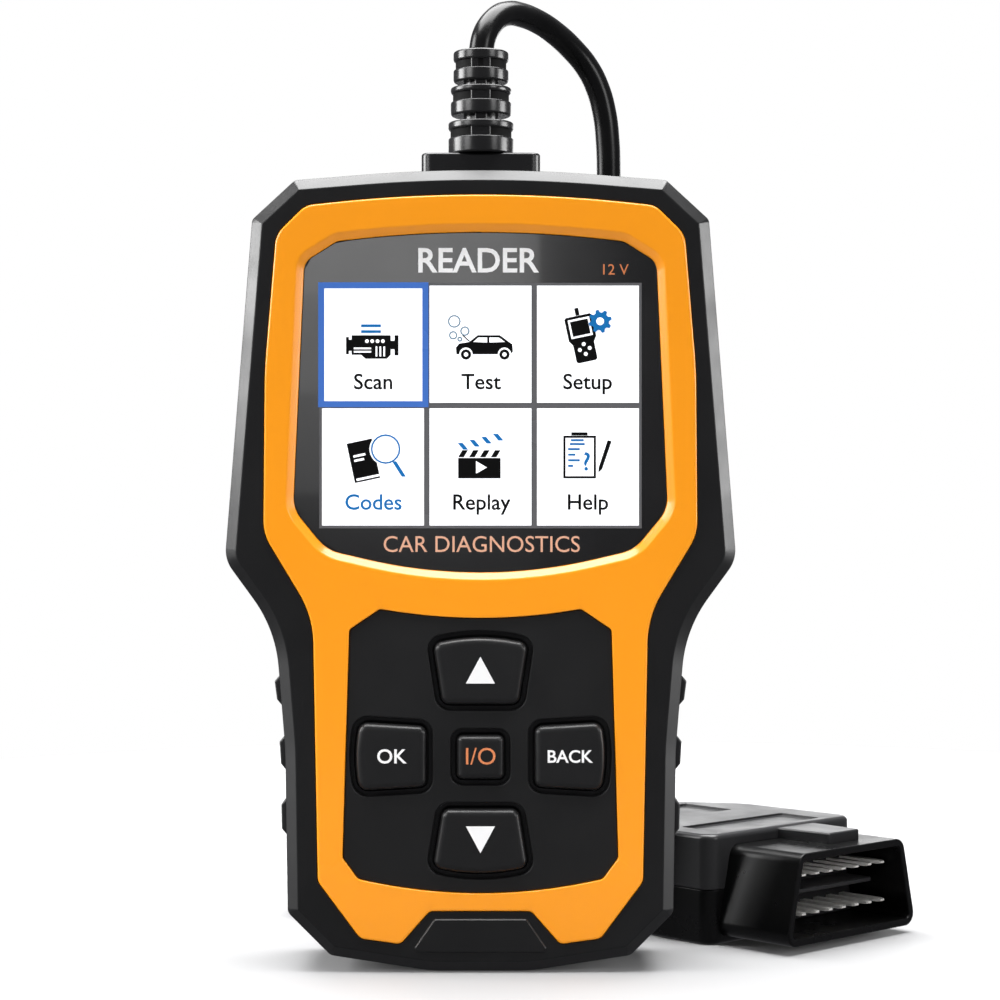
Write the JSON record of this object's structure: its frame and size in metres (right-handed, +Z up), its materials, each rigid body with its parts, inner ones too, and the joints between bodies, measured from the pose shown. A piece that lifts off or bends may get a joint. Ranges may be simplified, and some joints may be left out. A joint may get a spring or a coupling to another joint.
{
  "type": "obd code reader",
  "caption": "Hand-held vehicle code reader: a waisted two-shell case with a coloured face plate, a colour screen, a cross of keys and a corded trapezoid diagnostic plug.",
  "frame": {"origin": "middle of the case's footprint on the surface it stands on, at the middle of the case's depth; the cord and plug are left out of that measure", "axes": "+Z up along the case's length, -Y out of the screen towards the user, +X to the user's right"},
  "size_m": [0.1304, 0.0944, 0.178],
  "materials": {
    "case_black": "fine moulded texture, satin black",
    "case_black_rear": "fine moulded texture, satin black",
    "orange": "smooth satin orange",
    "lens": "polished, dark printed back",
    "panel_black": "fine matt",
    "key_rubber": "matt with printed marks",
    "foam": "matt foam",
    "screen_glass": "polished",
    "steel": "satin",
    "flex": "amber film",
    "socket_plastic": "moulded",
    "board_green": "solder mask",
    "chip_black": "matt epoxy",
    "solder_metal": "tinned",
    "wire": "soft insulation",
    "grip_rubber": "matt",
    "relief_rubber": "satin",
    "cord_jacket": "semi-gloss",
    "tie_fabric": "woven strap",
    "plug_grey": "fine moulded texture",
    "plug_black": "fine moulded texture",
    "pin_metal": "tin plated",
    "plate_grey": "blank satin film"
  },
  "bodies": {
    "reader": {"front_shell": "case_black", "rear_shell": "case_black_rear", "face_plate": "orange", "screen_lens": "lens", "keypad_panel": "panel_black", "lcd_gasket": "foam", "lcd_glass": "screen_glass", "lcd_frame": "steel", "lcd_ribbon": "flex", "ribbon_socket": "socket_plastic", "main_board": "board_green", "processor": "chip_black", "interface_chips": "chip_black", "board_passives": "solder_metal", "crystal": "steel", "buzzer": "chip_black", "key_domes": "solder_metal", "cable_header": "socket_plastic", "inner_wires": "wire", "case_screws": "steel", "back_plate": "plate_grey", "left_grip_ribs": "grip_rubber", "right_grip_ribs": "grip_rubber", "strain_relief": "relief_rubber", "cord_tube": "cord_jacket", "cord_coil": "cord_jacket", "cord_tail": "cord_jacket", "cord_tie": "tie_fabric", "plug_boot": "relief_rubber", "plug_top_cover": "plug_grey", "plug_bottom_cover": "plug_black", "plug_shroud": "plug_black", "plug_pin_block": "plug_black", "plug_pins": "pin_metal", "plug_board": "board_green", "plug_screws": "steel"},
    "up_key": {"up_key": "key_rubber"},
    "down_key": {"down_key": "key_rubber"},
    "enter_key": {"enter_key": "key_rubber"},
    "exit_key": {"exit_key": "key_rubber"},
    "center_key": {"center_key": "key_rubber"}
  },
  "joints": [
    {"name": "up_key_press", "type": "slide", "parent": "reader", "child": "up_key", "axis": [0, 1, 0], "range_m": [0, 0.0008], "stiffness_N_per_m": 400},
    {"name": "down_key_press", "type": "slide", "parent": "reader", "child": "down_key", "axis": [0, 1, 0], "range_m": [0, 0.0008], "stiffness_N_per_m": 400},
    {"name": "enter_key_press", "type": "slide", "parent": "reader", "child": "enter_key", "axis": [0, 1, 0], "range_m": [0, 0.0008], "stiffness_N_per_m": 400},
    {"name": "exit_key_press", "type": "slide", "parent": "reader", "child": "exit_key", "axis": [0, 1, 0], "range_m": [0, 0.0008], "stiffness_N_per_m": 400},
    {"name": "center_key_press", "type": "slide", "parent": "reader", "child": "center_key", "axis": [0, 1, 0], "range_m": [0, 0.0008], "stiffness_N_per_m": 400}
  ]
}
